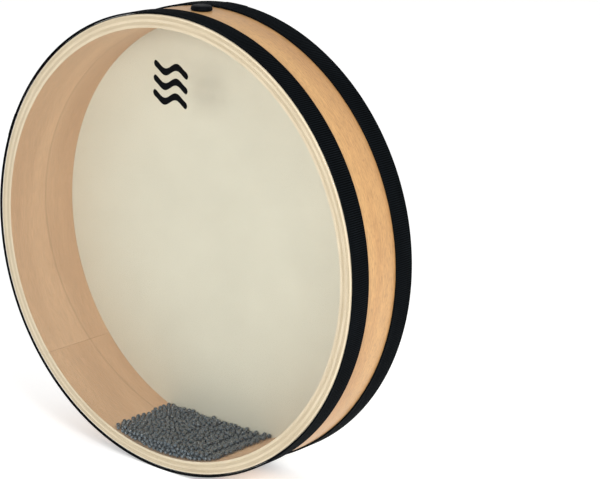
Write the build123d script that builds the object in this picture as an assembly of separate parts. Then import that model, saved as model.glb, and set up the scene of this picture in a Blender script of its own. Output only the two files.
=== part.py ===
"""Hand percussion drum of the ocean-drum kind: a shallow ply shell, a clear head, an opaque head
and a charge of steel beads between them.

Frame: the drum stands on its rim. Its axis runs along Y, the clear head faces -Y, +Z is up,
Z = 0 is the lowest line of the rim and Y = 0 is the middle of the drum's depth.
"""
import math
import os

import numpy as np
from build123d import *

os.makedirs("parts", exist_ok=True)

# ---- Driving dimensions, in millimetres and degrees -----------------------------------------

SHELL_OUTER_R = 176.0       # outside of the ply shell
PLY_COUNT = 5
PLY_THICKNESS = 2.1
DEPTH = 70.0                # over both heads
RIM_ROUND = 1.9             # round-over of the shell's outer edges, in the outer ply only
PLY_JOINT_GAP = 0.25        # gap where the two ends of one ply's strip meet
INNER_JOINT_AT = -137.5     # where the inner veneer's ends meet, seen along the axis
PLY_JOINT_STEP = 67.0       # each ply's joint is turned from the last one

FILM = 0.25                 # thickness of both heads
COLLAR_WIDTH = 16.5         # how far each head is folded over the shell, under the ribbon

RIBBON_WIDTH = 18.5
RIBBON_THICKNESS = 1.2
RIBBON_FIT = 0.05           # glue line between head collar and ribbon
RIBBON_LAP = 20.0           # length of the lapped end of the ribbon, along the rim
RIBBON_LAP_THICKNESS = 0.3  # how much higher the lap stands
FRONT_LAP_AT = 158.0       # middle of each lap, seen along the axis
REAR_LAP_AT = 88.4

FILL_HOLE_R = 6.0
PLUG_CAP_R = 8.1
PLUG_CAP_EDGE = 2.1         # straight edge below the cap's dome
PLUG_CAP_DOME = 1.5
PLUG_CAP_WALL = 1.9         # rubber over the hollow, at the middle of the cap
PLUG_WALL = 0.9             # wall of the hollow stem
PLUG_FIT = 0.35             # between the moving plug and what is around it
PLUG_RIB = 0.4              # how far the grip ribs stand out of the stem
PLUG_RIB_WIDTH = 1.3
PLUG_RIB_COUNT = 3

TAG_AT = 148.0              # middle of the tag, seen along the axis
TAG_WIDTH = 38.0            # along the rim
TAG_REACH = 15.0            # beyond the ribbon
TAG_FABRIC = 0.7
TAG_OPEN = 1.9              # between the two leaves of the loop
TAG_CORNER = 3.2
TAG_FIT = 0.05              # between the tag and the ribbon and shell it is glued to

BEAD_R = 1.75
BEAD_GAP = 0.03             # least gap between two beads
BEAD_WALL_GAP = 0.4         # between the beads and the shell or the heads
HEAP_HALF_ANGLE = 18.5      # the heap's top row meets the shell this far from the bottom
HEAP_TRIES = 220            # places tried for each bead
HEAP_ROLLS = (1.0, 0.4, 0.15, 0.05)  # how far it then rolls downhill, in bead radii
HEAP_ROLL_TRIES = 40
HEAP_MISSES = 12            # beads in a row that find no place below the level top
HEAP_SEED = 11

# ---- What follows from them ---------------------------------------------------------------

SHELL_INNER_R = SHELL_OUTER_R - PLY_COUNT * PLY_THICKNESS
COLLAR_R = SHELL_OUTER_R + FILM
RIBBON_INNER_R = COLLAR_R + RIBBON_FIT
RIBBON_OUTER_R = RIBBON_INNER_R + RIBBON_THICKNESS
AXIS_Z = RIBBON_OUTER_R
HALF_DEPTH = DEPTH / 2
SHELL_HALF = HALF_DEPTH - FILM

TO_AXIS = Pos(0, 0, AXIS_Z)


def revolved(profile):
    """Turn a profile, drawn with X as the radius and Y as the depth, about the drum's axis."""
    return TO_AXIS * revolve(profile, Axis.Y, 360)


def band(inner_r, outer_r, start, stop):
    """A plain ring between two depths."""
    with BuildSketch() as sketch:
        with Locations(((inner_r + outer_r) / 2, (start + stop) / 2)):
            Rectangle(outer_r - inner_r, stop - start)
    return revolved(sketch.sketch)


def at_angle(angle):
    """Frame on the drum's axis whose +X points out at the angle, counted from +X towards +Z."""
    return TO_AXIS * Rot(0, -angle, 0)


def fill_hole():
    """The hole through every ply at the top of the shell."""
    length = PLY_COUNT * PLY_THICKNESS + 8
    return TO_AXIS * Pos(0, 0, SHELL_OUTER_R - length / 2 + 4) * Cylinder(FILL_HOLE_R, length)


def ply(index):
    """One strip of veneer bent to a ring; index 0 is the outermost, and only it is rounded."""
    outer_r = SHELL_OUTER_R - index * PLY_THICKNESS
    inner_r = outer_r - PLY_THICKNESS
    with BuildSketch() as sketch:
        with Locations(((inner_r + outer_r) / 2, 0)):
            Rectangle(PLY_THICKNESS, 2 * SHELL_HALF)
        if index == 0:
            fillet(sketch.vertices().group_by(Axis.X)[-1], RIM_ROUND)
    ring = revolved(sketch.sketch)
    joint = INNER_JOINT_AT + (PLY_COUNT - 1 - index) * PLY_JOINT_STEP
    middle = (inner_r + outer_r) / 2
    gap = at_angle(joint) * Pos(middle, 0, 0) * Box(PLY_THICKNESS + 1, DEPTH + 2, PLY_JOINT_GAP)
    return ring - gap - fill_hole()


def head(side):
    """A film head: flat disc, rounded shoulder and a collar down the outside of the shell.

    side is -1 for the clear head and +1 for the opaque one.
    """
    outer_round = RIM_ROUND + FILM
    foot = HALF_DEPTH - COLLAR_WIDTH
    with BuildSketch() as sketch:
        with BuildLine():
            Line((0, SHELL_HALF), (0, HALF_DEPTH))
            Line((0, HALF_DEPTH), (COLLAR_R - outer_round, HALF_DEPTH))
            RadiusArc((COLLAR_R - outer_round, HALF_DEPTH), (COLLAR_R, HALF_DEPTH - outer_round),
                      outer_round)
            Line((COLLAR_R, HALF_DEPTH - outer_round), (COLLAR_R, foot))
            Line((COLLAR_R, foot), (SHELL_OUTER_R, foot))
            Line((SHELL_OUTER_R, foot), (SHELL_OUTER_R, SHELL_HALF - RIM_ROUND))
            RadiusArc((SHELL_OUTER_R, SHELL_HALF - RIM_ROUND), (SHELL_OUTER_R - RIM_ROUND, SHELL_HALF),
                      -RIM_ROUND)
            Line((SHELL_OUTER_R - RIM_ROUND, SHELL_HALF), (0, SHELL_HALF))
        make_face()
    shape = revolved(sketch.sketch)
    return shape if side > 0 else TO_AXIS * mirror(TO_AXIS.inverse() * shape, Plane.XZ)


def ribbon(side, lap_at):
    """A ribbon round the rim, flush with the head at its outer edge, with one lapped end."""
    outer_edge = side * HALF_DEPTH
    inner_edge = side * (HALF_DEPTH - RIBBON_WIDTH)
    start, stop = sorted((outer_edge, inner_edge))
    ring = band(RIBBON_INNER_R, RIBBON_OUTER_R, start, stop)
    lap = band(RIBBON_OUTER_R - RIBBON_THICKNESS / 2, RIBBON_OUTER_R + RIBBON_LAP_THICKNESS, start, stop)
    window = at_angle(lap_at) * Pos(RIBBON_OUTER_R, 0, 0) * Box(20, 2 * DEPTH, RIBBON_LAP)
    return ring + (lap & window)


def plug():
    """The stopper of the fill hole: domed cap and a hollow stem with grip ribs."""
    seat = SHELL_OUTER_R + PLUG_FIT
    tip = SHELL_INNER_R + PLUG_FIT
    rib_r = FILL_HOLE_R - PLUG_FIT
    stem_r = rib_r - PLUG_RIB
    bore_r = stem_r - PLUG_WALL
    dome_r = (PLUG_CAP_R**2 + PLUG_CAP_DOME**2) / (2 * PLUG_CAP_DOME)
    edge_top = seat + PLUG_CAP_EDGE
    top = edge_top + PLUG_CAP_DOME
    bore_top = top - PLUG_CAP_WALL
    with BuildSketch(Plane.XZ) as sketch:
        with BuildLine():
            Polyline((0, top), (0, bore_top), (bore_r, bore_top), (bore_r, tip), (stem_r, tip),
                     (stem_r, seat), (PLUG_CAP_R, seat), (PLUG_CAP_R, edge_top))
            RadiusArc((PLUG_CAP_R, edge_top), (0, top), -dome_r)
        make_face()
        pitch = (seat - tip) / PLUG_RIB_COUNT
        for number in range(PLUG_RIB_COUNT):
            with Locations((rib_r - PLUG_RIB, tip + (number + 0.45) * pitch)):
                Rectangle(2 * PLUG_RIB, PLUG_RIB_WIDTH)
    return TO_AXIS * revolve(sketch.sketch, Axis.Z, 360)


def tag():
    """The fabric tag: a strip folded to a loop that stands on the shell beside the rear ribbon."""
    foot_r = SHELL_OUTER_R + TAG_FIT
    top_r = RIBBON_OUTER_R + TAG_REACH
    fold_r = TAG_OPEN / 2 + TAG_FABRIC
    middle = HALF_DEPTH - RIBBON_WIDTH - TAG_FIT - fold_r
    low = foot_r * math.cos(math.asin(TAG_WIDTH / 2 / foot_r)) - 1
    with BuildSketch() as sketch:
        for width, mode in ((2 * fold_r, Mode.ADD), (TAG_OPEN, Mode.SUBTRACT)):
            with Locations(((low + top_r - fold_r) / 2, 0)):
                Rectangle(top_r - fold_r - low, width, mode=mode)
            with Locations((top_r - fold_r, 0)):
                Circle(width / 2, mode=mode)
    loop = extrude(sketch.sketch, TAG_WIDTH / 2, both=True)
    with BuildSketch(Plane(origin=(top_r, 0, 0), x_dir=(1, 0, 0), z_dir=(0, 1, 0))) as outline:
        with Locations((-TAG_WIDTH / 2, 0)):
            RectangleRounded(TAG_WIDTH, TAG_WIDTH, TAG_CORNER)
    loop = loop & extrude(outline.sketch, DEPTH, both=True)
    return at_angle(TAG_AT) * Pos(0, middle, 0) * loop - band(1, foot_r, -HALF_DEPTH, HALF_DEPTH)


def resting_heights(across, along, limit, apart, placed):
    """Height at which a bead dropped at each place touches the shell or the beads below it."""
    rest = -np.sqrt(np.maximum(limit**2 - across**2, 0))
    if len(placed) == 0:
        return rest
    reach = (across[:, None] - placed[:, 0])**2 + (along[:, None] - placed[:, 1])**2
    lift = placed[:, 2] + np.sqrt(np.maximum(apart**2 - reach, 0))
    return np.maximum(rest, np.where(reach < apart**2, lift, -limit).max(axis=1))


def heap():
    """Centres of the beads: each is dropped at the lowest place tried, then rolls downhill."""
    rng = np.random.default_rng(HEAP_SEED)
    limit = SHELL_INNER_R - BEAD_WALL_GAP - BEAD_R
    end = SHELL_HALF - BEAD_WALL_GAP - BEAD_R
    level = -limit * math.cos(math.radians(HEAP_HALF_ANGLE))
    half_chord = math.sqrt(limit**2 - level**2)
    apart = 2 * BEAD_R + BEAD_GAP
    placed = np.empty((0, 3))
    misses = 0
    while misses < HEAP_MISSES:
        across = rng.uniform(-half_chord, half_chord, HEAP_TRIES)
        along = rng.uniform(-end, end, HEAP_TRIES)
        for roll in (*HEAP_ROLLS, None):
            rest = resting_heights(across, along, limit, apart, placed)
            best = int(np.argmin(rest))
            found = (across[best], along[best], rest[best])
            if roll:
                step = rng.uniform(-roll * BEAD_R, roll * BEAD_R, (2, HEAP_ROLL_TRIES))
                step[:, 0] = 0
                across = np.clip(found[0] + step[0], -half_chord, half_chord)
                along = np.clip(found[1] + step[1], -end, end)
        if found[2] > level:
            misses += 1
            continue
        misses = 0
        placed = np.vstack((placed, found))
    return placed


def beads():
    """Every bead of the charge as its own solid."""
    ball = Sphere(BEAD_R)
    return Compound(children=[TO_AXIS * Pos(*(float(value) for value in centre)) * ball for centre in heap()])


# ---- Build and export -------------------------------------------------------------------------

PLY_NAMES = ("outer_veneer", "outer_core_ply", "middle_core_ply", "inner_core_ply", "inner_veneer")

pieces = {name: ply(index) for index, name in enumerate(PLY_NAMES)}
pieces["clear_head"] = head(-1)
pieces["opaque_head"] = head(+1)
pieces["front_ribbon"] = ribbon(-1, FRONT_LAP_AT)
pieces["rear_ribbon"] = ribbon(+1, REAR_LAP_AT)
pieces["fill_plug"] = plug()
pieces["fabric_tag"] = tag()
pieces["steel_beads"] = beads()

for name, shape in pieces.items():
    shape.label = name
    export_step(shape, f"parts/{name}.step")
    box = shape.bounding_box()
    print(f"{name:18s} solids {len(shape.solids()):5d}  volume {shape.volume:12.1f}  "
          f"x {box.min.X:8.2f} {box.max.X:8.2f}  y {box.min.Y:7.2f} {box.max.Y:7.2f}  "
          f"z {box.min.Z:7.2f} {box.max.Z:7.2f}")
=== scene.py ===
"""Looks for the ocean drum: ply shell, film heads, ribbons, plug, tag and steel beads.

Frame: metres, the drum's axis along Y, the clear head towards -Y, +Z up, the floor at Z = 0.
"""
import logging
import math
from collections.abc import Callable, Iterable
from dataclasses import dataclass
from enum import Enum

import bpy
import numpy as np
from mathutils import Matrix, Vector


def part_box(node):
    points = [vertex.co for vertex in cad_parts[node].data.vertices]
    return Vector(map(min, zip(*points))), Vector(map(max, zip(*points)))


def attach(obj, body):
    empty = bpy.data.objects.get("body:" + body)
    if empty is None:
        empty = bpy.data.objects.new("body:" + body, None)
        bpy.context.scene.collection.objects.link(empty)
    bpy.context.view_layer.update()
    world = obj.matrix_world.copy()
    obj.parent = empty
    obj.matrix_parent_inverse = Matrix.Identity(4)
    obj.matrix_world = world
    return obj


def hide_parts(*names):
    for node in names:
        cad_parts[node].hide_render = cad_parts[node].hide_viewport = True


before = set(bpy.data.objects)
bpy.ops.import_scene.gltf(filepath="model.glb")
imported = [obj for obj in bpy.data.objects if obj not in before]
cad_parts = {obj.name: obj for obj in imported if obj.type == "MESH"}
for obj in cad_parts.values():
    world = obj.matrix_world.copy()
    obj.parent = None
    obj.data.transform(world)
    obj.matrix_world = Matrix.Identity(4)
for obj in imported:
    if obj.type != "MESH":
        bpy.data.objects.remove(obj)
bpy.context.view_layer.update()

log = logging.getLogger("ocean_drum")

MM = 0.001


# ---- The drum's own measures, read from the frame ------------------------------------------------


@dataclass(frozen=True)
class DrumFrame:
    """Where the drum stands and how large its pieces are, in metres."""

    axis_z: float
    shell_r: float
    inner_r: float
    collar_r: float
    ribbon_r: float
    half_depth: float
    shell_half: float
    ribbon_inner_edge: float

    @classmethod
    def from_nodes(cls) -> "DrumFrame":
        """Read the measures off the CAD nodes' boxes.

        Returns:
            The filled-in measures.
        """
        shell_low, shell_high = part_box("outer_veneer")
        inner_low, inner_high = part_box("inner_veneer")
        head_low, head_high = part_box("clear_head")
        ribbon_low, ribbon_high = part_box("front_ribbon")
        ply = (shell_high.x - inner_high.x) / 4
        return cls(
            axis_z=(shell_low.z + shell_high.z) / 2,
            shell_r=shell_high.x,
            inner_r=inner_high.x - ply,
            collar_r=head_high.x,
            ribbon_r=ribbon_high.x,
            half_depth=-head_low.y,
            shell_half=shell_high.y,
            ribbon_inner_edge=-ribbon_high.y,
        )


class Side(Enum):
    """Which end of the drum a piece sits at."""

    CLEAR = -1
    OPAQUE = 1


# ---- Modelling by hand, in small steps ------------------------------------------------------------


def deselect_all() -> None:
    """Leave object mode and clear the selection."""
    if bpy.context.object and bpy.context.object.mode != "OBJECT":
        bpy.ops.object.mode_set(mode="OBJECT")
    bpy.ops.object.select_all(action="DESELECT")


def pick(obj: bpy.types.Object) -> None:
    """Make obj the one selected and active object.

    Args:
        obj: the object to work on.
    """
    deselect_all()
    obj.select_set(True)
    bpy.context.view_layer.objects.active = obj


def edit_all(obj: bpy.types.Object) -> None:
    """Enter edit mode on obj with all of it selected."""
    pick(obj)
    bpy.ops.object.mode_set(mode="EDIT")
    bpy.ops.mesh.select_all(action="SELECT")


def named_primitive(name: str) -> bpy.types.Object:
    """Name the primitive that was just added.

    Args:
        name: the piece's name.

    Returns:
        The object.
    """
    obj = bpy.context.object
    obj.name = name
    obj.data.name = name
    return obj


def select_points(obj: bpy.types.Object, test: Callable[[np.ndarray], np.ndarray]) -> int:
    """Select the vertices that a test on their places chooses, and enter edit mode.

    Args:
        obj: a mesh object.
        test: takes the places as rows of x, y, z and returns True for each chosen one.

    Returns:
        How many were chosen.
    """
    pick(obj)
    mesh = obj.data
    places = np.empty(len(mesh.vertices) * 3)
    mesh.vertices.foreach_get("co", places)
    chosen = np.asarray(test(places.reshape(-1, 3)), bool)
    mesh.polygons.foreach_set("select", np.zeros(len(mesh.polygons), bool))
    mesh.edges.foreach_set("select", np.zeros(len(mesh.edges), bool))
    mesh.vertices.foreach_set("select", chosen)
    bpy.ops.object.mode_set(mode="EDIT")
    bpy.ops.mesh.select_mode(type="VERT")
    return int(chosen.sum())


def done(obj: bpy.types.Object, merge: float = 1e-6) -> bpy.types.Object:
    """Merge doubles, point the faces outwards and leave edit mode.

    Args:
        obj: the object in hand.
        merge: distance under which vertices merge, in metres.

    Returns:
        The object.
    """
    edit_all(obj)
    bpy.ops.mesh.remove_doubles(threshold=merge)
    bpy.ops.mesh.normals_make_consistent(inside=False)
    bpy.ops.object.mode_set(mode="OBJECT")
    return obj


def smooth(obj: bpy.types.Object, angle: float = 32.0) -> bpy.types.Object:
    """Shade smooth below an angle between faces.

    Args:
        obj: the object.
        angle: in degrees.

    Returns:
        The object.
    """
    pick(obj)
    bpy.ops.object.shade_smooth_by_angle(angle=math.radians(angle))
    return obj


def apply_modifiers(obj: bpy.types.Object) -> bpy.types.Object:
    """Apply every modifier in order."""
    pick(obj)
    for modifier in list(obj.modifiers):
        bpy.ops.object.modifier_apply(modifier=modifier.name)
    return obj


def trace(name: str, points: Iterable[tuple[float, float, float]], closed: bool) -> bpy.types.Object:
    """Draw a line by extruding one vertex from point to point.

    Args:
        name: the piece's name.
        points: the points in order.
        closed: join the last point to the first.

    Returns:
        The line, as a mesh with edges only, left in edit mode and selected all over.
    """
    path = [Vector(point) for point in points]
    deselect_all()
    bpy.ops.mesh.primitive_plane_add(size=MM, location=(0, 0, 0))
    obj = named_primitive(name)
    bpy.ops.object.mode_set(mode="EDIT")
    bpy.ops.mesh.select_mode(type="VERT")
    bpy.ops.mesh.select_all(action="SELECT")
    bpy.ops.mesh.merge(type="CENTER")
    bpy.ops.mesh.select_all(action="SELECT")
    bpy.ops.transform.translate(value=path[0])
    for before, after in zip(path, path[1:]):
        bpy.ops.mesh.extrude_region_move(TRANSFORM_OT_translate={"value": after - before})
    if closed:
        bpy.ops.object.mode_set(mode="OBJECT")
        count = len(obj.data.vertices)
        obj.data.vertices[0].select = True
        obj.data.vertices[count - 1].select = True
        bpy.ops.object.mode_set(mode="EDIT")
        bpy.ops.mesh.edge_face_add()
    bpy.ops.mesh.select_all(action="SELECT")
    return obj


def turned(
    name: str,
    outline: list[tuple[float, float]],
    drum: DrumFrame,
    steps: int,
    closed: bool = True,
    start: float = 0.0,
    sweep: float = math.tau,
    capped: bool = True,
) -> bpy.types.Object:
    """Turn an outline about the drum's axis.

    Args:
        name: the piece's name.
        outline: points of radius and depth.
        drum: where the axis is.
        steps: how many steps the turn takes.
        closed: the outline is a closed line; otherwise it starts and ends on the axis.
        start: angle of the first outline, from +X towards +Z, in radians.
        sweep: how far it turns.
        capped: close the two ends of a turn that stops short of a whole one.

    Returns:
        The mesh.
    """
    points = [
        (radius * math.cos(start), depth, drum.axis_z + radius * math.sin(start))
        for radius, depth in outline
    ]
    obj = trace(name, points, closed)
    bpy.ops.mesh.spin(
        steps=steps,
        angle=-sweep,
        center=(0, 0, drum.axis_z),
        axis=(0, 1, 0),
        use_auto_merge=True,
    )
    done(obj)
    if capped and sweep < math.tau - 1e-6:
        edit_all(obj)
        bpy.ops.mesh.fill_holes(sides=0)
        done(obj)
    return obj


def dress(obj: bpy.types.Object, *materials: bpy.types.Material) -> None:
    """Give a piece these materials and no others."""
    obj.data.materials.clear()
    for material in materials:
        obj.data.materials.append(material)


def fresh_uv(mesh: bpy.types.Mesh, name: str) -> bpy.types.MeshUVLoopLayer:
    """Make the mesh's one UV map, so that it is also the active one.

    Args:
        mesh: the mesh, which may have maps from a primitive.
        name: the new map's name.

    Returns:
        The empty map.
    """
    while mesh.uv_layers:
        mesh.uv_layers.remove(mesh.uv_layers[0])
    return mesh.uv_layers.new(name=name)


def rim_angles(places: np.ndarray, drum: DrumFrame) -> np.ndarray:
    """Angle of each place about the drum's axis, from +X towards +Z, in radians."""
    return np.arctan2(places[:, 2] - drum.axis_z, places[:, 0])


def rim_radii(places: np.ndarray, drum: DrumFrame) -> np.ndarray:
    """Distance of each place from the drum's axis."""
    return np.hypot(places[:, 0], places[:, 2] - drum.axis_z)


def unroll(obj: bpy.types.Object, drum: DrumFrame, seam: float) -> None:
    """Give a rim piece a UV map: metres along the rim, and depth plus radius across it.

    Args:
        obj: the piece.
        drum: where the axis is.
        seam: the angle at which the strip's two ends meet.
    """
    mesh = obj.data
    layer = fresh_uv(mesh, "Rim")
    places = np.empty(len(mesh.vertices) * 3)
    mesh.vertices.foreach_get("co", places)
    places = places.reshape(-1, 3)
    around = np.mod(rim_angles(places, drum) - seam, math.tau) * drum.shell_r
    across = places[:, 1] + rim_radii(places, drum)
    corner = np.empty(len(mesh.loops), np.int64)
    mesh.loops.foreach_get("vertex_index", corner)
    flat = np.stack((around[corner], across[corner]), axis=1)
    for polygon in mesh.polygons:
        ends = flat[polygon.loop_start:polygon.loop_start + polygon.loop_total, 0]
        if ends.max() - ends.min() > math.pi * drum.shell_r:
            ends[ends < math.pi * drum.shell_r] += math.tau * drum.shell_r
    layer.data.foreach_set("uv", flat.astype(np.float32).ravel())


# ---- Materials ----------------------------------------------------------------------------------


Colour = tuple[float, float, float]
Stop = tuple[float, Colour]


def grey(value: float) -> Colour:
    """The grey of that brightness."""
    return (value, value, value)


class Bench:
    """A node material in the making."""

    def __init__(self, name: str) -> None:
        """Start a material with an output and a Principled shader."""
        self.material = bpy.data.materials.new(name)
        self.material.use_nodes = True
        self.tree = self.material.node_tree
        self.tree.nodes.clear()
        self.output = self.tree.nodes.new("ShaderNodeOutputMaterial")
        self.shader = self.tree.nodes.new("ShaderNodeBsdfPrincipled")
        self.link(self.shader, "BSDF", self.output, "Surface")

    def node(self, kind: str, settings: dict | None = None, **sockets: object) -> bpy.types.Node:
        """Add a node.

        Args:
            kind: its type's name after "ShaderNode".
            settings: its own properties.
            sockets: values of its input sockets, with _ for a space in a name.

        Returns:
            The node.
        """
        made = self.tree.nodes.new("ShaderNode" + kind)
        for key, value in (settings or {}).items():
            setattr(made, key, value)
        for key, value in sockets.items():
            made.inputs[key.replace("_", " ")].default_value = value
        return made

    def link(self, source: bpy.types.Node, out: str | int, target: bpy.types.Node, into: str | int) -> None:
        """Join one node's output to another's input."""
        self.tree.links.new(source.outputs[out], target.inputs[into])

    def set(self, **sockets: object) -> None:
        """Set the Principled shader's own sockets, with _ for a space in a name."""
        for key, value in sockets.items():
            self.shader.inputs[key.replace("_", " ")].default_value = value

    def coordinates(self, uv: bool, scale: tuple[float, float, float]) -> bpy.types.Node:
        """Stretched coordinates.

        Args:
            uv: read the piece's UV map rather than its Object coordinates.
            scale: how many pattern units a metre holds, along each direction.

        Returns:
            A Mapping node.
        """
        source = self.node("TexCoord")
        mapping = self.node("Mapping", Scale=scale)
        self.link(source, "UV" if uv else "Object", mapping, "Vector")
        return mapping

    def noise(self, where: bpy.types.Node, detail: float = 3.0, rough: float = 0.5) -> bpy.types.Node:
        """Noise on the given coordinates."""
        made = self.node("TexNoise", Scale=1.0, Detail=detail, Roughness=rough)
        self.link(where, "Vector", made, "Vector")
        return made

    def ramp(self, source: bpy.types.Node, out: str | int, stops: list[Stop]) -> bpy.types.Node:
        """Colour ramp with the given stops of position and colour."""
        made = self.node("ValToRGB")
        elements = made.color_ramp.elements
        while len(elements) < len(stops):
            elements.new(0.5)
        for element, (position, colour) in zip(elements, stops):
            element.position = position
            element.color = (*colour, 1.0)
        self.link(source, out, made, "Fac")
        return made

    def mix(self, factor: object, first: object, second: object, blend: str = "MIX") -> bpy.types.Node:
        """Mix two colours, each a node or a colour; the factor is a node or a number."""
        made = self.node("Mix", {"data_type": "RGBA", "blend_type": blend})
        for index, value in ((0, factor), (6, first), (7, second)):
            if isinstance(value, bpy.types.Node):
                out = next(s for s in value.outputs if s.enabled)
                self.tree.links.new(out, made.inputs[index])
            elif index == 0:
                made.inputs[index].default_value = value
            else:
                made.inputs[index].default_value = (*value, 1.0)
        return made

    def colour(self, source: bpy.types.Node) -> None:
        """Feed the Principled shader's base colour."""
        out = next(s for s in source.outputs if s.enabled)
        self.tree.links.new(out, self.shader.inputs["Base Color"])

    def maths(self, operation: str, *values: bpy.types.NodeSocket | float) -> bpy.types.NodeSocket:
        """Work out one Math node.

        Args:
            operation: its name in Blender.
            values: what goes in, each an output socket or a number.

        Returns:
            The output socket.
        """
        made = self.node("Math", {"operation": operation})
        for index, value in enumerate(values):
            if isinstance(value, bpy.types.NodeSocket):
                self.tree.links.new(value, made.inputs[index])
            else:
                made.inputs[index].default_value = value
        return made.outputs["Value"]

    def part(self, coordinate: str, letter: str) -> bpy.types.NodeSocket:
        """One letter, X, Y or Z, of a texture coordinate such as Object or UV."""
        parts = self.node("SeparateXYZ")
        self.link(self.node("TexCoord"), coordinate, parts, "Vector")
        return parts.outputs[letter]

    def between(self, value: bpy.types.NodeSocket, clamp: bool = True, **limits: float) -> bpy.types.Node:
        """Map a value from one range onto another; the limits are the Map Range node's sockets."""
        made = self.node("MapRange", {"clamp": clamp}, **limits)
        self.tree.links.new(value, made.inputs["Value"])
        return made

    def spread(self, source: bpy.types.Node, out: str | int, low: float, high: float) -> bpy.types.Node:
        """Stretch a value from 0 to 1 onto low to high."""
        made = self.node("MapRange", From_Min=0.3, From_Max=0.7, To_Min=low, To_Max=high)
        self.link(source, out, made, "Value")
        return made

    def bump(self, source: bpy.types.Node, out: str | int, strength: float, height: float) -> None:
        """Feed the shader's normal from a height."""
        made = self.node("Bump", Strength=strength, Distance=height)
        self.link(source, out, made, "Height")
        self.link(made, "Normal", self.shader, "Normal")


class Finish:
    """A finish that can make its material."""

    def material(self) -> bpy.types.Material:
        """Make the material."""
        raise NotImplementedError


@dataclass(frozen=True)
class BeechVeneer(Finish):
    """Lacquered beech face veneer with its grain along the rim and short dark flecks."""

    name: str
    pale: Colour
    deep: Colour
    fleck: Colour
    roughness: float
    coat: float
    contrast: float
    strip_line: float | None = None
    bow: float = 15.0 * MM
    middle: float = 195.0 * MM
    reach: float = 177.5 * MM
    line_width: float = 1.2 * MM
    line_blur: float = 0.4 * MM
    line_tone: float = 0.42
    strip_tone: float = 0.55
    strip_tint: Colour = (0.93, 0.91, 0.89)

    def material(self) -> bpy.types.Material:
        """Broad tone, fine streaks and flecks, with a low bump.

        Returns:
            The material.
        """
        bench = Bench(self.name)
        broad = bench.noise(bench.coordinates(True, (5.0, 34.0, 1.0)), 4.0, 0.55)
        tone = bench.ramp(broad, "Fac", [(0.34, self.deep), (0.66, self.pale)])
        streaks = bench.noise(bench.coordinates(True, (95.0, 1150.0, 1.0)), 3.0, 0.6)
        streak_tone = bench.ramp(streaks, "Fac", [(0.32, grey(1 - self.contrast)), (0.62, grey(1.05))])
        grained = bench.mix(1.0, tone, streak_tone, "MULTIPLY")
        flecks = bench.noise(bench.coordinates(True, (260.0, 1700.0, 1.0)), 1.0, 0.4)
        fleck_mask = bench.ramp(flecks, "Fac", [(0.57, grey(0.0)), (0.68, grey(2 * self.contrast))])
        flecked = bench.mix(fleck_mask, grained, self.fleck)
        bench.colour(flecked if self.strip_line is None else self.edge_joined(bench, flecked))
        rough = bench.spread(streaks, "Fac", self.roughness - 0.06, self.roughness + 0.08)
        bench.link(rough, "Result", bench.shader, "Roughness")
        bench.bump(streaks, "Fac", 0.08, 0.0001)
        bench.set(Coat_Weight=self.coat, Coat_Roughness=0.28, Specular_IOR_Level=0.45)
        return bench.material

    def edge_joined(self, bench: Bench, before: bpy.types.Node) -> bpy.types.Node:
        """Darken the face a little beyond the line, and draw the line where two widths of veneer meet.

        Args:
            bench: the material in hand.
            before: the colour so far.

        Returns:
            The new colour.
        """
        height = bench.between(
            bench.part("Object", "Z"), clamp=False, From_Min=self.middle, From_Max=self.middle + self.reach
        )
        squared = bench.maths("POWER", height.outputs["Result"], 2.0)
        bow = bench.maths("MULTIPLY", squared, -self.bow)
        depth = bench.maths("ADD", bench.part("Object", "Y"), bow)
        behind = bench.between(
            depth,
            From_Min=self.strip_line - self.line_blur,
            From_Max=self.strip_line + self.line_blur,
            To_Min=0.0,
            To_Max=self.strip_tone,
        )
        darker = bench.mix(behind, before, bench.mix(1.0, before, self.strip_tint, "MULTIPLY"))
        apart = bench.maths("ABSOLUTE", bench.maths("SUBTRACT", depth, self.strip_line))
        line = bench.between(apart, From_Min=0.0, From_Max=self.line_width, To_Min=self.line_tone, To_Max=0.0)
        return bench.mix(line, darker, self.fleck)


@dataclass(frozen=True)
class PlyEdge(Finish):
    """The raw edge of one ply, seen under the film."""

    name: str
    light: Colour
    dark: Colour
    along: bool

    def material(self) -> bpy.types.Material:
        """Long fibres along the rim, or speckled end grain, by the way the ply lies.

        Returns:
            The material.
        """
        bench = Bench(self.name)
        scale = (90.0, 2400.0, 1.0) if self.along else (1300.0, 1500.0, 1.0)
        fibres = bench.noise(bench.coordinates(True, scale), 3.0, 0.6)
        patches = bench.noise(bench.coordinates(True, (26.0, 260.0, 1.0)), 2.0, 0.5)
        tone = bench.ramp(fibres, "Fac", [(0.3, self.dark), (0.66, self.light)])
        patch_tone = bench.ramp(patches, "Fac", [(0.3, (0.9, 0.88, 0.85)), (0.65, grey(1.03))])
        bench.colour(bench.mix(1.0, tone, patch_tone, "MULTIPLY"))
        bench.bump(fibres, "Fac", 0.3, 0.0001)
        bench.set(Roughness=0.62, Specular_IOR_Level=0.3)
        return bench.material


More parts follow.
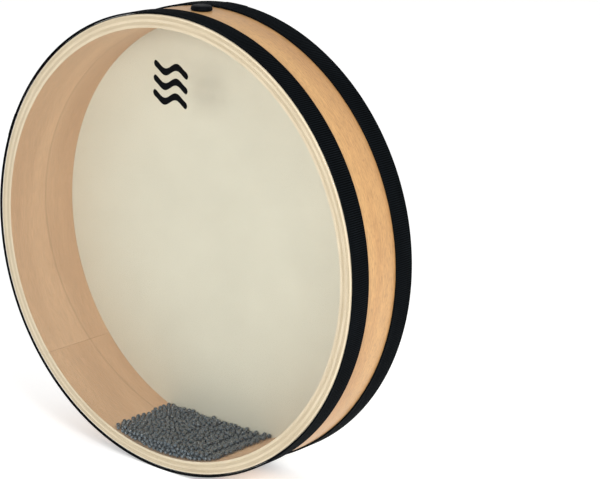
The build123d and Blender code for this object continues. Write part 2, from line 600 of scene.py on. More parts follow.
@dataclass(frozen=True)
class ClearFilm(Finish):
    """Clear polyester film: lets light through, with a faint haze and a sharp gloss."""

    name: str = "clear_polyester_film"
    tint: Colour = (0.97, 0.972, 0.962)
    haze: float = 0.003
    gloss_roughness: float = 0.07

    def material(self) -> bpy.types.Material:
        """Transparent shader under a gloss that grows towards grazing angles.

        Returns:
            The material.
        """
        bench = Bench(self.name)
        clear = bench.node("BsdfTransparent", Color=(*self.tint, 1.0))
        milk = bench.node("BsdfDiffuse", Color=(0.8, 0.8, 0.78, 1.0))
        hazy = bench.node("MixShader", Fac=self.haze)
        bench.link(clear, "BSDF", hazy, 1)
        bench.link(milk, "BSDF", hazy, 2)
        ripple = bench.noise(bench.coordinates(False, (11.0, 11.0, 11.0)), 2.0, 0.45)
        dents = bench.node("Bump", Strength=0.12, Distance=0.0012)
        bench.link(ripple, "Fac", dents, "Height")
        gloss = bench.node("BsdfGlossy", Color=(1, 1, 1, 1), Roughness=self.gloss_roughness)
        bench.link(dents, "Normal", gloss, "Normal")
        rim = bench.node("Fresnel", IOR=1.16)
        bench.link(dents, "Normal", rim, "Normal")
        surface = bench.node("MixShader")
        bench.link(rim, "Fac", surface, 0)
        bench.link(hazy, "Shader", surface, 1)
        bench.link(gloss, "BSDF", surface, 2)
        bench.tree.nodes.remove(bench.shader)
        bench.link(surface, "Shader", bench.output, "Surface")
        return bench.material


@dataclass(frozen=True)
class IvoryFilm(Finish):
    """Opaque ivory film with a faint fibrous mottle."""

    name: str
    light: Colour
    dark: Colour
    fibre: Colour
    roughness: float = 0.46

    def material(self) -> bpy.types.Material:
        """Cloudy tone with scattered pale fibres and small dents.

        Returns:
            The material.
        """
        bench = Bench(self.name)
        cloud = bench.noise(bench.coordinates(False, (13.0, 13.0, 13.0)), 5.0, 0.6)
        tone = bench.ramp(cloud, "Fac", [(0.3, self.dark), (0.7, self.light)])
        fibres = bench.noise(bench.coordinates(False, (620.0, 620.0, 150.0)), 4.0, 0.7)
        mask = bench.ramp(fibres, "Fac", [(0.55, grey(0.0)), (0.8, grey(0.3))])
        bench.colour(bench.mix(mask, tone, self.fibre))
        dents = bench.noise(bench.coordinates(False, (14.0, 14.0, 14.0)), 1.0, 0.4)
        bench.bump(dents, "Fac", 0.06, 0.0008)
        rough = bench.spread(cloud, "Fac", self.roughness - 0.05, self.roughness + 0.07)
        bench.link(rough, "Result", bench.shader, "Roughness")
        bench.set(Specular_IOR_Level=0.4)
        return bench.material


@dataclass(frozen=True)
class RibbedRibbon(Finish):
    """Black grosgrain: threads over the modelled ribs, with painted highlight and shade on the ribs."""

    pitch: float
    phase: float
    name: str = "black_grosgrain"
    thread: Colour = (0.0018, 0.0024, 0.0030)
    crest: Colour = (0.0095, 0.0125, 0.0155)

    def material(self) -> bpy.types.Material:
        """Fine threads across the ribs, a dull sheen, a little variation along the rim, and painted highlight
        and shade on each rib.

        Returns:
            The material.
        """
        bench = Bench(self.name)
        threads = bench.noise(bench.coordinates(True, (900.0, 5200.0, 1.0)), 2.0, 0.6)
        tone = bench.ramp(threads, "Fac", [(0.35, self.thread), (0.75, self.crest)])
        wear = bench.noise(bench.coordinates(True, (24.0, 90.0, 1.0)), 3.0, 0.55)
        worn = bench.ramp(wear, "Fac", [(0.35, grey(0.85)), (0.7, grey(1.2))])
        cloth = bench.mix(1.0, tone, worn, "MULTIPLY")
        # Multiply by the ribs' painted highlight on each crest and painted shade in each valley.
        bench.colour(bench.mix(1.0, cloth, self.ribs(bench), "MULTIPLY"))
        bench.bump(threads, "Fac", 0.5, 0.00012)
        bench.set(Roughness=0.6, Sheen_Weight=0.001, Sheen_Roughness=0.5, Specular_IOR_Level=0.01)
        bench.shader.inputs["Sheen Tint"].default_value = (0.55, 0.65, 0.9, 1.0)
        return bench.material

    def ribs(self, bench: Bench) -> bpy.types.Node:
        """Painted highlight on the crest of each rib and painted shade in the valley beside it.

        Args:
            bench: the material in hand.

        Returns:
            A grey to multiply by.
        """
        turn = bench.maths("MULTIPLY_ADD", bench.part("UV", "X"), math.tau / self.pitch, self.phase)
        wave = bench.maths("COSINE", turn)
        depth = bench.between(wave, From_Min=-1.0, From_Max=1.0, To_Min=1.0, To_Max=0.0)
        # Near black in the valley is painted shade; above 1 on the crest is painted highlight.
        return bench.ramp(depth, "Result", [(0.2, grey(0.02)), (0.8, grey(1.35))])


@dataclass(frozen=True)
class SoftRubber(Finish):
    """Black rubber with moulding speckle."""

    name: str = "black_rubber"
    colour: Colour = (0.0024, 0.003, 0.004)

    def material(self) -> bpy.types.Material:
        """Dull black with a finely pitted skin.

        Returns:
            The material.
        """
        bench = Bench(self.name)
        pits = bench.noise(bench.coordinates(False, (1400.0, 1400.0, 1400.0)), 3.0, 0.6)
        dust = bench.noise(bench.coordinates(False, (240.0, 240.0, 240.0)), 3.0, 0.6)
        lighter = tuple(2.1 * value for value in self.colour)
        bench.colour(bench.ramp(dust, "Fac", [(0.4, self.colour), (0.72, lighter)]))
        rough = bench.spread(dust, "Fac", 0.36, 0.52)
        bench.link(rough, "Result", bench.shader, "Roughness")
        bench.bump(pits, "Fac", 0.25, 0.00006)
        bench.set(Specular_IOR_Level=0.025)
        return bench.material


@dataclass(frozen=True)
class WovenCloth(Finish):
    """Tight satin-edged tape, with warp and weft on the strip's own UV map."""

    name: str
    warp: Colour
    weft: Colour
    threads_per_metre: float = 2400.0

    def material(self) -> bpy.types.Material:
        """Two crossing sets of threads, mixed like a plain weave.

        Returns:
            The material.
        """
        bench = Bench(self.name)
        where = bench.coordinates(True, (self.threads_per_metre, self.threads_per_metre, 1.0))
        lines = []
        for direction in ("X", "Y"):
            wave = bench.node(
                "TexWave", {"wave_type": "BANDS", "bands_direction": direction}, Scale=0.5, Distortion=0.6
            )
            bench.link(where, "Vector", wave, "Vector")
            lines.append(wave)
        over = bench.node("Math", {"operation": "MULTIPLY"})
        bench.link(lines[0], "Fac", over, 0)
        bench.link(lines[1], "Fac", over, 1)
        bench.colour(bench.ramp(over, "Value", [(0.05, self.weft), (0.6, self.warp)]))
        bench.bump(over, "Value", 0.5, 0.00015)
        bench.set(Roughness=0.6, Sheen_Weight=0.25, Sheen_Roughness=0.4, Specular_IOR_Level=0.35)
        return bench.material


@dataclass(frozen=True)
class DarkSteel(Finish):
    """Blackened steel with a worn satin skin."""

    name: str = "dark_steel"
    low: Colour = (0.024, 0.044, 0.066)
    high: Colour = (0.056, 0.092, 0.128)

    def material(self) -> bpy.types.Material:
        """Tone that changes from bead to bead, under a clean gloss.

        Returns:
            The material.
        """
        bench = Bench(self.name)
        each = bench.noise(bench.coordinates(False, (210.0, 210.0, 210.0)), 2.0, 0.6)
        bench.colour(bench.ramp(each, "Fac", [(0.32, self.low), (0.68, self.high)]))
        bench.set(Metallic=0.2, Roughness=0.36, Specular_IOR_Level=0.45)
        bench.set(Coat_Weight=0.8, Coat_IOR=1.8, Coat_Roughness=0.03)
        return bench.material


@dataclass(frozen=True)
class PrintInk(Finish):
    """Screen-printed black ink."""

    name: str = "black_ink"
    colour: Colour = (0.0016, 0.0018, 0.0022)

    def material(self) -> bpy.types.Material:
        """Flat black with a slightly uneven film.

        Returns:
            The material.
        """
        bench = Bench(self.name)
        film = bench.noise(bench.coordinates(False, (500.0, 500.0, 500.0)), 3.0, 0.6)
        lighter = tuple(1.8 * value for value in self.colour)
        bench.colour(bench.ramp(film, "Fac", [(0.4, self.colour), (0.8, lighter)]))
        bench.set(Roughness=0.55, Specular_IOR_Level=0.03)
        return bench.material


@dataclass(frozen=True)
class StudioFloor(Finish):
    """Matt white paper with a faint glow of its own."""

    name: str = "studio_floor"
    white: float = 0.92
    glow: float = 0.32

    def material(self) -> bpy.types.Material:
        """Plain and matt.

        Returns:
            The material.
        """
        bench = Bench(self.name)
        bench.set(Base_Color=(self.white, self.white, self.white, 1.0), Roughness=0.9)
        bench.set(Emission_Color=(1.0, 1.0, 1.0, 1.0), Emission_Strength=self.glow)
        return bench.material


# ---- Sub-assemblies -----------------------------------------------------------------------------


def place(obj: bpy.types.Object, body: str, nodes: tuple[str, ...] = ()) -> bpy.types.Object:
    """Hand a finished piece to its body.

    Args:
        obj: the piece.
        body: the body it rides on.
        nodes: the CAD nodes that it stands for.

    Returns:
        The piece.
    """
    if nodes:
        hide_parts(*nodes)
    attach(obj, body)
    log.info("%s: %d faces, on %s", obj.name, len(obj.data.polygons), body)
    return obj


@dataclass
class Shell:
    """The five bent plies, with the fill hole through them."""

    drum: DrumFrame
    steps: int = 384
    chamfer: float = 0.16 * MM
    rim_round: float = 1.9 * MM
    joint_gap: float = 0.14 * MM
    inner_joint: float = math.radians(-137.5)
    joint_step: float = math.radians(67.0)
    hole_r: float = 6.0 * MM
    strip_line: float = 4.0 * MM

    NODES = ("outer_veneer", "outer_core_ply", "middle_core_ply", "inner_core_ply", "inner_veneer")

    def outline(self, index: int) -> list[tuple[float, float]]:
        """Section of one ply, as radius and depth.

        Args:
            index: 0 for the outermost.

        Returns:
            The closed outline's points.
        """
        thick = (self.drum.shell_r - self.drum.inner_r) / len(self.NODES)
        outer = self.drum.shell_r - index * thick
        inner = outer - thick
        half = self.drum.shell_half
        cut = self.chamfer
        points = [(inner, -half + cut), (inner + cut, -half)]
        if index == 0:
            points += self.rounding(outer, half, -1)
            points += self.rounding(outer, half, +1)[::-1]
        else:
            points += [(outer - cut, -half), (outer, -half + cut), (outer, half - cut), (outer - cut, half)]
        return points + [(inner + cut, half), (inner, half - cut)]

    def rounding(self, outer: float, half: float, side: int) -> list[tuple[float, float]]:
        """The outer ply's rounded corner at one end, from its face to its outside."""
        r = self.rim_round
        turn = [math.radians(a) for a in (0, 22.5, 45, 67.5, 90)]
        return [(outer - r + r * math.sin(a), side * (half - r + r * math.cos(a))) for a in turn]

    def ply(self, index: int) -> bpy.types.Object:
        """Bend one ply, leaving the small gap where its ends meet, and bore the fill hole.

        Args:
            index: 0 for the outermost.

        Returns:
            The ply.
        """
        joint = self.inner_joint + (len(self.NODES) - 1 - index) * self.joint_step
        gap = self.joint_gap / self.drum.shell_r
        obj = turned(
            f"shell_{self.NODES[index]}",
            self.outline(index),
            self.drum,
            self.steps,
            start=joint + gap / 2,
            sweep=math.tau - gap,
        )
        unroll(obj, self.drum, joint)
        self.bore(obj)
        return smooth(obj, 25)

    def bore(self, obj: bpy.types.Object) -> None:
        """Cut the fill hole out of a ply with a boolean."""
        deselect_all()
        middle = self.drum.axis_z + (self.drum.shell_r + self.drum.inner_r) / 2
        bpy.ops.mesh.primitive_cylinder_add(
            vertices=64, radius=self.hole_r, depth=24 * MM, location=(0, 0, middle)
        )
        cutter = named_primitive("fill_hole_cutter")
        cut = obj.modifiers.new("fill_hole", "BOOLEAN")
        cut.operation = "DIFFERENCE"
        cut.solver = "EXACT"
        cut.object = cutter
        apply_modifiers(obj)
        deselect_all()
        cutter.select_set(True)
        bpy.ops.object.delete()

    def clad(self, obj: bpy.types.Object, face: bpy.types.Material, edge: bpy.types.Material) -> None:
        """Put the face veneer on the faces that look along the radius and the edge on the rest.

        Args:
            obj: a ply.
            face: the veneer's material.
            edge: the raw edge's material.
        """
        dress(obj, face, edge)
        for polygon in obj.data.polygons:
            polygon.material_index = int(abs(polygon.normal.y) > 0.5)

    def build(self) -> None:
        """Make and dress all five plies."""
        outer_face = BeechVeneer(
            name="beech_outer_face",
            pale=(0.61, 0.355, 0.145),
            deep=(0.49, 0.265, 0.106),
            fleck=(0.28, 0.145, 0.064),
            roughness=0.42,
            coat=0.05,
            contrast=0.24,
        ).material()
        inner_face = BeechVeneer(
            name="beech_inner_face",
            pale=(0.82, 0.555, 0.355),
            deep=(0.70, 0.45, 0.275),
            fleck=(0.46, 0.27, 0.155),
            roughness=0.5,
            coat=0.05,
            contrast=0.1,
            strip_line=self.strip_line,
        ).material()
        pale = PlyEdge("ply_edge_pale", (0.79, 0.69, 0.545), (0.68, 0.58, 0.435), True).material()
        warm = PlyEdge("ply_edge_warm", (0.69, 0.59, 0.44), (0.54, 0.44, 0.31), False).material()
        faces = (outer_face, warm, pale, warm, inner_face)
        edges = (pale, warm, pale, warm, pale)
        for index, node in enumerate(self.NODES):
            obj = self.ply(index)
            self.clad(obj, faces[index], edges[index])
            place(obj, "drum", (node,))


@dataclass
class FilmHead:
    """A film head with its rounded shoulder and the collar that the ribbon covers."""

    drum: DrumFrame
    side: Side
    film: float = 0.25 * MM
    rim_round: float = 1.9 * MM
    collar: float = 16.5 * MM
    recess: float = 0.06 * MM
    steps: int = 384

    def outline(self) -> list[tuple[float, float]]:
        """Section from the axis out over the shoulder, down the collar and back inside."""
        sign = self.side.value
        face, inside = self.drum.half_depth - self.recess, self.drum.half_depth - self.film
        foot = face - self.collar
        turn = [math.radians(a) for a in (0, 15, 30, 45, 60, 75, 90)]

        def shoulder(outer: float, top: float, r: float) -> list[tuple[float, float]]:
            """A quarter turn of radius r, from the face to the outside."""
            return [(outer - r + r * math.sin(a), top - r + r * math.cos(a)) for a in turn]

        gap = 0.03 * MM
        outer = shoulder(self.drum.collar_r, face, self.rim_round + self.film)
        inner = shoulder(self.drum.shell_r + gap, inside + gap, self.rim_round)
        flat_end = self.drum.shell_r - self.rim_round
        rings = (0.0, 0.05, 0.1, 0.15, flat_end - 0.6 * MM, flat_end - 0.2 * MM)
        middle = [(r, face) for r in rings]
        under = [(r, inside + gap) for r in reversed(rings)]
        points = middle + outer + [(self.drum.collar_r, foot), (self.drum.shell_r + gap, foot)]
        points += inner[::-1] + under
        return [(radius, sign * depth) for radius, depth in points]

    def finishes(self) -> list[Finish]:
        """The clear film, or the ivory film's coated outside and its bare inside, whose darker colour is
        painted shade.
        """
        if self.side is Side.CLEAR:
            return [ClearFilm()]
        return [
            IvoryFilm("ivory_film_coated", (0.90, 0.88, 0.80), (0.86, 0.84, 0.755), (0.95, 0.93, 0.87)),
            # The inside's darker colours paint the shade inside the drum.
            IvoryFilm("ivory_film_bare_painted_shade", (0.70, 0.685, 0.58), (0.645, 0.63, 0.53), (0.76, 0.75, 0.66), 0.6),
        ]

    def build(self) -> bpy.types.Object:
        """Make and dress the head."""
        clear = self.side is Side.CLEAR
        name = "clear_film_head" if clear else "ivory_film_head"
        obj = turned(name, self.outline(), self.drum, self.steps, closed=False)
        smooth(obj, 40)
        dress(obj, *[finish.material() for finish in self.finishes()])
        if not clear:
            # Faces that look into the drum take the inside's painted-shade material.
            for polygon in obj.data.polygons:
                polygon.material_index = int(polygon.normal.y < -0.5)
        return place(
            obj,
            "drum",
            ("clear_head",) if clear else ("opaque_head",),
        )


@dataclass
class Ribbon:
    """A grosgrain ribbon round one rim, with its ribs modelled and its end lapped."""

    drum: DrumFrame
    side: Side
    lap_at: float
    rib_pitch: float = 1.7 * MM
    rib_depth: float = 0.3 * MM
    selvedge: float = 1.5 * MM
    fit: float = 0.05 * MM
    lap_length: float = 20.0 * MM
    lap_rise: float = 0.3 * MM
    steps_per_rib: int = 3
    doublings: int = 5

    def outline(self) -> list[tuple[float, float]]:
        """Closed section: flat underside, rounded edges, selvedges and the ribbed middle."""
        top, low = self.drum.ribbon_r, self.drum.collar_r + self.fit
        wide, narrow = self.drum.half_depth, self.drum.ribbon_inner_edge
        sel = self.selvedge
        sink = 0.12 * MM
        points = [
            (low, wide),
            (top - 0.35 * MM, wide),
            (top, wide - 0.3 * MM),
            (top, wide - sel),
            (top - sink, wide - sel - 0.15 * MM),
            (top, wide - sel - 0.4 * MM),
            (top, (wide + narrow) / 2),
            (top, narrow + sel + 0.4 * MM),
            (top - sink, narrow + sel + 0.15 * MM),
            (top, narrow + sel),
            (top, narrow + 0.3 * MM),
            (top - 0.35 * MM, narrow),
            (low, narrow),
        ]
        return [(radius, self.side.value * depth) for radius, depth in points]

    def pull(self, obj: bpy.types.Object, test: Callable[[np.ndarray], np.ndarray], rise: float) -> None:
        """Move the chosen vertices out from the axis.

        Args:
            obj: the ribbon.
            test: chooses the vertices.
            rise: how far, in metres; below 0 is inwards.
        """
        select_points(obj, test)
        scale = 1 + rise / self.drum.ribbon_r
        bpy.ops.transform.resize(value=(scale, 1, scale), center_override=(0, 0, self.drum.axis_z))
        bpy.ops.object.mode_set(mode="OBJECT")

    def build(self) -> bpy.types.Object:
        """Model one sector with its ribs, double it round the rim, raise the lapped end and dress it."""
        drum = self.drum
        ribs = round(math.tau * drum.ribbon_r / self.rib_pitch / 2**self.doublings)
        steps = ribs * self.steps_per_rib
        sector = math.tau / 2**self.doublings
        name = "front_grosgrain" if self.side is Side.CLEAR else "rear_grosgrain"
        obj = turned(name, self.outline(), drum, steps, sweep=sector, capped=False)
        edge = drum.half_depth - self.selvedge - 0.3 * MM
        inner = drum.ribbon_inner_edge + self.selvedge + 0.3 * MM

        def valleys(places: np.ndarray) -> np.ndarray:
            """One row of the outer face for each rib, between the two selvedges."""
            step = np.rint(rim_angles(places, drum) / sector * steps).astype(int)
            depth = np.abs(places[:, 1])
            top = rim_radii(places, drum) > drum.ribbon_r - 0.05 * MM
            return top & (depth < edge) & (depth > inner) & (step % self.steps_per_rib == 0)

        def lapped(places: np.ndarray) -> np.ndarray:
            """The outer face where the ribbon's end lies over its start."""
            off = np.abs(np.angle(np.exp(1j * (rim_angles(places, drum) - self.lap_at))))
            near = off * drum.ribbon_r < self.lap_length / 2
            return near & (rim_radii(places, drum) > drum.ribbon_r - 0.5 * MM)

        self.pull(obj, valleys, -self.rib_depth)
        for doubling in range(self.doublings):
            edit_all(obj)
            bpy.ops.mesh.duplicate()
            bpy.ops.transform.rotate(
                value=sector * 2**doubling, orient_axis="Y", center_override=(0, 0, drum.axis_z)
            )
            bpy.ops.object.mode_set(mode="OBJECT")
        done(obj, 0.01 * MM)
        self.pull(obj, lapped, self.lap_rise)
        unroll(obj, drum, self.lap_at)
        smooth(obj, 50)
        rib_turn = sector / ribs
        dress(obj, RibbedRibbon(rib_turn * drum.shell_r, self.lap_at / rib_turn * math.tau).material())
        node = "front_ribbon" if self.side is Side.CLEAR else "rear_ribbon"
        return place(obj, "drum", (node,))


@dataclass
class WaveMark:
    """Plain wavy strokes, one above the other."""

    width: float
    stroke: float
    swing: float
    pitch: float
    count: int
    thickness: float
    waves: float = 1.5
    columns: int = 44

    def build(self, name: str) -> bpy.types.Object:
        """Model the strokes flat in the XZ plane about the origin, facing -Y.

        Args:
            name: the piece's name.

        Returns:
            The strokes as one mesh.
        """
        deselect_all()
        strokes = []
        for number in range(self.count):
            bpy.ops.mesh.primitive_grid_add(
                x_subdivisions=self.columns, y_subdivisions=2, size=1.0, rotation=(math.pi / 2, 0, 0)
            )
            stroke = named_primitive(f"{name}_{number}")
            bpy.ops.object.transform_apply(location=False, rotation=True, scale=False)
            self.shape(stroke, (number - (self.count - 1) / 2) * self.pitch)
            strokes.append(stroke)
        deselect_all()
        for stroke in strokes:
            stroke.select_set(True)
        bpy.context.view_layer.objects.active = strokes[0]
        bpy.ops.object.join()
        whole = named_primitive(name)
        thicken = whole.modifiers.new("ink", "SOLIDIFY")
        thicken.thickness = self.thickness
        thicken.offset = 0
        apply_modifiers(whole)
        return done(whole)

    def shape(self, stroke: bpy.types.Object, height: float) -> None:
        """Scale a unit grid to a stroke, round its ends and swing it column by column.

        Args:
            stroke: the grid.
            height: where its middle goes.
        """
        edit_all(stroke)
        bpy.ops.transform.resize(value=(self.width, 1, self.stroke), center_override=(0, 0, 0))
        bpy.ops.transform.translate(value=(0, 0, height))
        bpy.ops.object.mode_set(mode="OBJECT")
        step = self.width / self.columns
        for column in range(self.columns + 1):
            x = -self.width / 2 + column * step
            end = self.width / 2 - abs(x)
            radius = self.stroke / 2
            full = 1.0 if end >= radius else math.sqrt(max(1e-4, 1 - (1 - end / radius) ** 2))
            rise = self.swing * math.sin(x / self.width * math.tau * self.waves)
            select_points(stroke, lambda places: np.abs(places[:, 0] - x) < step * 0.3)
            bpy.ops.transform.resize(value=(1, 1, full), center_override=(x, 0, height))
            bpy.ops.transform.translate(value=(0, 0, rise))
            bpy.ops.object.mode_set(mode="OBJECT")


@dataclass
class HeadPrint:
    """The printed strokes on the outer face of the clear head."""

    drum: DrumFrame
    centre_x: float = 2.1 * MM
    centre_above_axis: float = 125.5 * MM
    tilt: float = math.radians(1.0)
    thickness: float = 0.04 * MM

    def build(self) -> bpy.types.Object:
        """Model, place and dress the print."""
        mark = WaveMark(34 * MM, 5.4 * MM, 2.6 * MM, 11.0 * MM, 3, self.thickness)
        obj = mark.build("printed_waves")
        outside = -self.drum.half_depth + self.thickness / 2
        pick(obj)
        obj.rotation_euler = (0, self.tilt, 0)
        obj.location = (self.centre_x, outside, self.drum.axis_z + self.centre_above_axis)
        bpy.ops.object.transform_apply(location=True, rotation=True, scale=True)
        dress(obj, PrintInk().material())
        return place(obj, "drum")


@dataclass
class FillPlug:
    """The rubber stopper: nearly flat cap with a rounded shoulder, and a hollow ribbed stem."""

    drum: DrumFrame
    cap_r: float = 8.1 * MM
    cap_edge: float = 2.1 * MM
    dome: float = 1.5 * MM
    cap_wall: float = 1.9 * MM
    fit: float = 0.35 * MM
    hole_r: float = 6.0 * MM
    rib: float = 0.4 * MM
    rib_width: float = 1.3 * MM
    ribs: int = 3
    wall: float = 0.9 * MM

    # radius, and how far the cap has fallen away there, in mm
    SHOULDER = ((3.4, 0.05), (5.9, 0.2), (7.0, 0.5), (7.65, 0.95), (8.0, 1.55))

    def outline(self) -> list[tuple[float, float]]:
        """Half section from the top of the dome to the top of the hollow, as radius and height."""
        seat = self.drum.shell_r + self.fit
        tip = self.drum.inner_r + self.fit
        rib_r = self.hole_r - self.fit
        stem_r = rib_r - self.rib
        top = seat + self.cap_edge + self.dome
        points = [(0.0, top)] + [(radius * MM, top - drop * MM) for radius, drop in self.SHOULDER]
        points += [(self.cap_r, top - 2.2 * MM), (self.cap_r, seat + 0.35 * MM)]
        points += [(self.cap_r - 0.3 * MM, seat), (stem_r, seat)]
        pitch = (seat - tip) / self.ribs
        for number in reversed(range(self.ribs)):
            middle = tip + (number + 0.45) * pitch
            half = self.rib_width / 2
            points += [(stem_r, middle + half), (rib_r, middle + half * 0.4)]
            points += [(rib_r, middle - half * 0.4), (stem_r, middle - half)]
        bore = stem_r - self.wall
        points += [(stem_r, tip), (bore, tip), (bore, top - self.cap_wall), (0.0, top - self.cap_wall)]
        return points

    def build(self) -> bpy.types.Object:
        """Turn the plug about its own axis and dress it."""
        points = [(radius, 0.0, self.drum.axis_z + height) for radius, height in self.outline()]
        obj = trace("rubber_plug", points, closed=False)
        bpy.ops.mesh.spin(steps=72, angle=math.tau, center=(0, 0, 0), axis=(0, 0, 1), use_auto_merge=True)
        done(obj)
        smooth(obj, 40)
        dress(obj, SoftRubber().material())
        return place(obj, "plug", ("fill_plug",))


@dataclass
class LoopTag:
    """The folded fabric tag with its woven waves."""

    drum: DrumFrame
    at: float = math.radians(148.0)
    width: float = 38.0 * MM
    reach: float = 15.0 * MM
    cloth: float = 0.7 * MM
    opening: float = 1.9 * MM
    corner: float = 3.2 * MM
    fit: float = 0.05 * MM
    fold_cloth: float = 2.0 * MM
    stations: int = 24

    def build(self) -> None:
        """Make the loop and its two woven marks."""
        red = WovenCloth("red_tape", (0.40, 0.010, 0.028), (0.20, 0.004, 0.012)).material()
        white = WovenCloth("white_thread", (0.80, 0.82, 0.82), (0.52, 0.55, 0.56), 3200.0).material()
        loop = self.loop()
        dress(loop, red)
        self.to_rim(loop)
        place(loop, "drum", ("fabric_tag",))
        for number, face in enumerate((-1, 1)):
            mark = WaveMark(17 * MM, 1.7 * MM, 1.0 * MM, 3.3 * MM, 3, 0.16 * MM, columns=36).build(
                f"woven_waves_{number}"
            )
            pick(mark)
            outside = self.opening / 2 + self.cloth
            mark.location = (0, face * outside, self.drum.ribbon_r + self.reach * 0.46)
            bpy.ops.object.transform_apply(location=True, rotation=True, scale=True)
            self.flat_map(mark)
            dress(mark, white)
            self.to_rim(mark)
            place(mark, "drum")

    def loop(self) -> bpy.types.Object:
        """Draw the folded section, then draw it out along the rim with rounded outer corners.

        Returns:
            The loop, upright at the top of the rim.
        """
        fold_r = self.opening / 2 + self.cloth
        top = self.drum.ribbon_r + self.reach - fold_r
        foot = math.sqrt((self.drum.shell_r + self.fit) ** 2 - (self.width / 2) ** 2) + 2.2 * MM
        half_turn = [math.radians(a) for a in range(0, 181, 18)]
        outer = [(fold_r * math.cos(a), top + fold_r * math.sin(a)) for a in half_turn]
        in_r = self.opening / 2
        inner = [(in_r * math.cos(a), top + in_r * math.sin(a)) for a in reversed(half_turn)]
        section = [(fold_r, foot), (fold_r * 0.86, (foot + top) / 2), *outer]
        section += [(-fold_r * 0.86, (foot + top) / 2), (-fold_r, foot), (-in_r, foot)]
        section += [(-fold_r * 0.86 + self.cloth, (foot + top) / 2), *inner]
        section += [(fold_r * 0.86 - self.cloth, (foot + top) / 2), (in_r, foot)]
        start = -self.width / 2
        obj = trace("red_tag", [(start, y, z) for y, z in section], closed=True)
        step = self.width / self.stations
        for _ in range(self.stations):
            bpy.ops.mesh.extrude_region_move(TRANSFORM_OT_translate={"value": (step, 0, 0)})
        done(obj)
        edit_all(obj)
        bpy.ops.mesh.fill_holes(sides=0)
        done(obj)
        for station in range(self.stations + 1):
            x = start + station * step
            self.fit_station(obj, x, step, top, foot)
        self.flat_map(obj)
        return smooth(obj, 45)

    def fit_station(self, obj: bpy.types.Object, x: float, step: float, top: float, foot: float) -> None:
        """Lower the fold near the ends and set the feet on the round shell, at one station.

        Args:
            obj: the loop.
            x: the station's place along the rim.
            step: distance between stations.
            top: height of the fold's middle.
            foot: height the feet were drawn at.
        """

        def here(places: np.ndarray) -> np.ndarray:
            """Every vertex of this station."""
            return np.abs(places[:, 0] - x) < step * 0.3

        end = self.width / 2 - abs(x)
        if end < self.corner:
            drop = self.corner - math.sqrt(max(0.0, self.corner**2 - (self.corner - end) ** 2))
            self.shift(obj, lambda p: here(p) & (p[:, 2] > top - 0.2 * MM), -drop)
        shell = math.sqrt((self.drum.shell_r + self.fit) ** 2 - x * x)
        self.shift(obj, lambda p: here(p) & (np.abs(p[:, 2] - foot) < 0.05 * MM), shell - foot)

    def shift(self, obj: bpy.types.Object, test: Callable[[np.ndarray], np.ndarray], rise: float) -> None:
        """Move the vertices that a test chooses straight up, or down where rise is below 0."""
        select_points(obj, test)
        bpy.ops.transform.translate(value=(0, 0, rise))
        bpy.ops.object.mode_set(mode="OBJECT")

    def flat_map(self, obj: bpy.types.Object) -> None:
        """UV map in metres: along the tag, and up one leaf and down the other."""
        mesh = obj.data
        layer = fresh_uv(mesh, "Cloth")
        for loop in mesh.loops:
            co = mesh.vertices[loop.vertex_index].co
            layer.data[loop.index].uv = (co.x, co.z * (1 if co.y < 0 else -1) + co.y)

    def to_rim(self, obj: bpy.types.Object) -> None:
        """Turn the piece, drawn at the top of the rim, to the tag's place beside the rear ribbon."""
        pick(obj)
        fold_r = self.opening / 2 + self.cloth
        depth = self.drum.ribbon_inner_edge - self.fit - fold_r
        turn = Matrix.Rotation(-(self.at - math.pi / 2), 4, "Y")
        obj.matrix_world = Matrix.Translation((0, depth, self.drum.axis_z)) @ turn
        bpy.ops.object.transform_apply(location=True, rotation=True, scale=True)


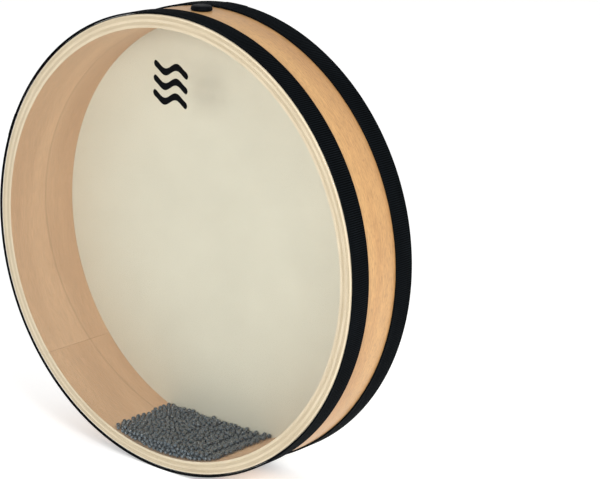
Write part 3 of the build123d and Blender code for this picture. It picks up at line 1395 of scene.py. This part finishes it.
@dataclass
class BeadCharge:
    """Every bead of the charge, at the places the CAD gives."""

    radius: float = 1.75 * MM
    seed: int = 5

    def centres(self) -> np.ndarray:
        """Middle of each CAD bead, from the connected parts of its mesh.

        Returns:
            One row of x, y, z for each bead.
        """
        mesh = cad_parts["steel_beads"].data
        places = np.empty(len(mesh.vertices) * 3)
        mesh.vertices.foreach_get("co", places)
        places = places.reshape(-1, 3)
        corners = np.empty(len(mesh.loops), np.int64)
        mesh.loops.foreach_get("vertex_index", corners)
        _, same = np.unique(np.rint(places / 1e-7).astype(np.int64), axis=0, return_inverse=True)
        same = same.ravel()
        triangles = same[corners].reshape(-1, 3)
        label = np.arange(same.max() + 1)
        while True:
            least = label[triangles].min(axis=1)
            fresh = label.copy()
            np.minimum.at(fresh, triangles.ravel(), np.repeat(least, 3))
            fresh = fresh[fresh]
            if (fresh == label).all():
                break
            label = fresh
        group = label[same]
        order = np.argsort(group, kind="stable")
        starts = np.flatnonzero(np.r_[True, np.diff(group[order]) > 0])
        low = np.minimum.reduceat(places[order], starts, axis=0)
        high = np.maximum.reduceat(places[order], starts, axis=0)
        return (low + high) / 2

    def build(self) -> bpy.types.Object:
        """Model one bead, copy it to every centre with its own turn, and dress the charge."""
        deselect_all()
        bpy.ops.mesh.primitive_ico_sphere_add(subdivisions=2, radius=self.radius)
        one = named_primitive("one_bead")
        count = len(one.data.vertices)
        ball = np.empty(count * 3)
        one.data.vertices.foreach_get("co", ball)
        ball = ball.reshape(-1, 3)
        faces = np.array([list(polygon.vertices) for polygon in one.data.polygons])
        deselect_all()
        one.select_set(True)
        bpy.ops.object.delete()
        centres = self.centres()
        rng = np.random.default_rng(self.seed)
        turns, _ = np.linalg.qr(rng.normal(size=(len(centres), 3, 3)))
        turns *= np.sign(np.linalg.det(turns))[:, None, None]
        points = (np.einsum("nij,vj->nvi", turns, ball) + centres[:, None, :]).reshape(-1, 3)
        cells = (faces[None] + count * np.arange(len(centres))[:, None, None]).reshape(-1, 3)
        mesh = bpy.data.meshes.new("steel_bead_charge")
        mesh.from_pydata(points.tolist(), [], cells.tolist())
        mesh.polygons.foreach_set("use_smooth", np.ones(len(mesh.polygons), bool))
        obj = bpy.data.objects.new("steel_bead_charge", mesh)
        bpy.context.scene.collection.objects.link(obj)
        mesh.materials.append(DarkSteel().material())
        log.info("%d beads", len(centres))
        return place(obj, "bead_charge", ("steel_beads",))


# ---- Studio -------------------------------------------------------------------------------------


@dataclass
class Studio:
    """Floor, lights and camera."""

    drum: DrumFrame
    floor_size: float = 14.0
    lens: float = 133.87

    def floor(self) -> None:
        """A wide sheet of white paper under the drum."""
        deselect_all()
        bpy.ops.mesh.primitive_plane_add(size=self.floor_size, location=(0, 3.0, 0))
        sheet = named_primitive("studio_floor")
        sheet.data.materials.append(StudioFloor().material())

    def lamp(self, name: str, at: tuple, aim: tuple, size: float, power: float, tone: tuple) -> None:
        """Add a soft square lamp.

        Args:
            name: the lamp's name.
            at: where it hangs.
            aim: the point it faces.
            size: its side, in metres.
            power: in watts.
            tone: its colour.
        """
        data = bpy.data.lights.new(name, "AREA")
        data.size = size
        data.energy = power
        data.color = tone
        obj = bpy.data.objects.new(name, data)
        obj.location = at
        obj.rotation_euler = (Vector(aim) - Vector(at)).to_track_quat("-Z", "Y").to_euler()
        bpy.context.scene.collection.objects.link(obj)

    def lights(self) -> None:
        """An even room, one soft lamp in front and one to the right."""
        world = bpy.data.worlds.new("studio_room")
        bpy.context.scene.world = world
        world.use_nodes = True
        background = world.node_tree.nodes["Background"]
        background.inputs["Color"].default_value = (1.0, 1.0, 1.0, 1.0)
        background.inputs["Strength"].default_value = 0.7
        middle = (0, 0, self.drum.axis_z)
        self.lamp("key", (0.84, -2.4, 0.95), middle, 0.6, 24.0, (1.0, 0.985, 0.96))
        self.lamp("side", (2.0, -1.1, 1.4), middle, 0.7, 32.0, (1.0, 0.985, 0.96))

    def camera(self) -> None:
        """The camera, a long lens a little above the drum and to its right front."""
        r = self.drum.ribbon_r
        data = bpy.data.cameras.new("studio_camera")
        data.lens = self.lens
        data.sensor_width = 36.0
        data.clip_end = 50.0
        obj = bpy.data.objects.new("studio_camera", data)
        right = Vector((0.777, 0.628, 0.035)).normalized()
        back = Vector((0.596, -0.754, 0.276)).normalized()
        up = back.cross(right).normalized()
        right = up.cross(back)
        turn = Matrix((right, up, back)).transposed().to_4x4()
        at = Vector((6.042 * r, -6.730 * r - self.drum.half_depth, 2.652 * r + self.drum.axis_z))
        obj.matrix_world = Matrix.Translation(at) @ turn
        bpy.context.scene.collection.objects.link(obj)
        bpy.context.scene.camera = obj

    def grade(self) -> None:
        """Plain colour handling, so that white paper stays white."""
        bpy.context.scene.view_settings.view_transform = "Standard"

    def build(self) -> None:
        """Set the studio up."""
        self.camera()
        self.floor()
        self.lights()
        self.grade()


def main() -> None:
    """Build the studio and every piece."""
    logging.basicConfig(level=logging.INFO, format="%(name)s %(message)s")
    drum = DrumFrame.from_nodes()
    log.info("measures %s", drum)
    Studio(drum).build()
    Shell(drum).build()
    FilmHead(drum, Side.CLEAR).build()
    FilmHead(drum, Side.OPAQUE).build()
    Ribbon(drum, Side.CLEAR, math.radians(158.0)).build()
    Ribbon(drum, Side.OPAQUE, math.radians(88.4)).build()
    HeadPrint(drum).build()
    FillPlug(drum).build()
    LoopTag(drum).build()
    BeadCharge().build()
    deselect_all()


if __name__ == "__main__":
    main()
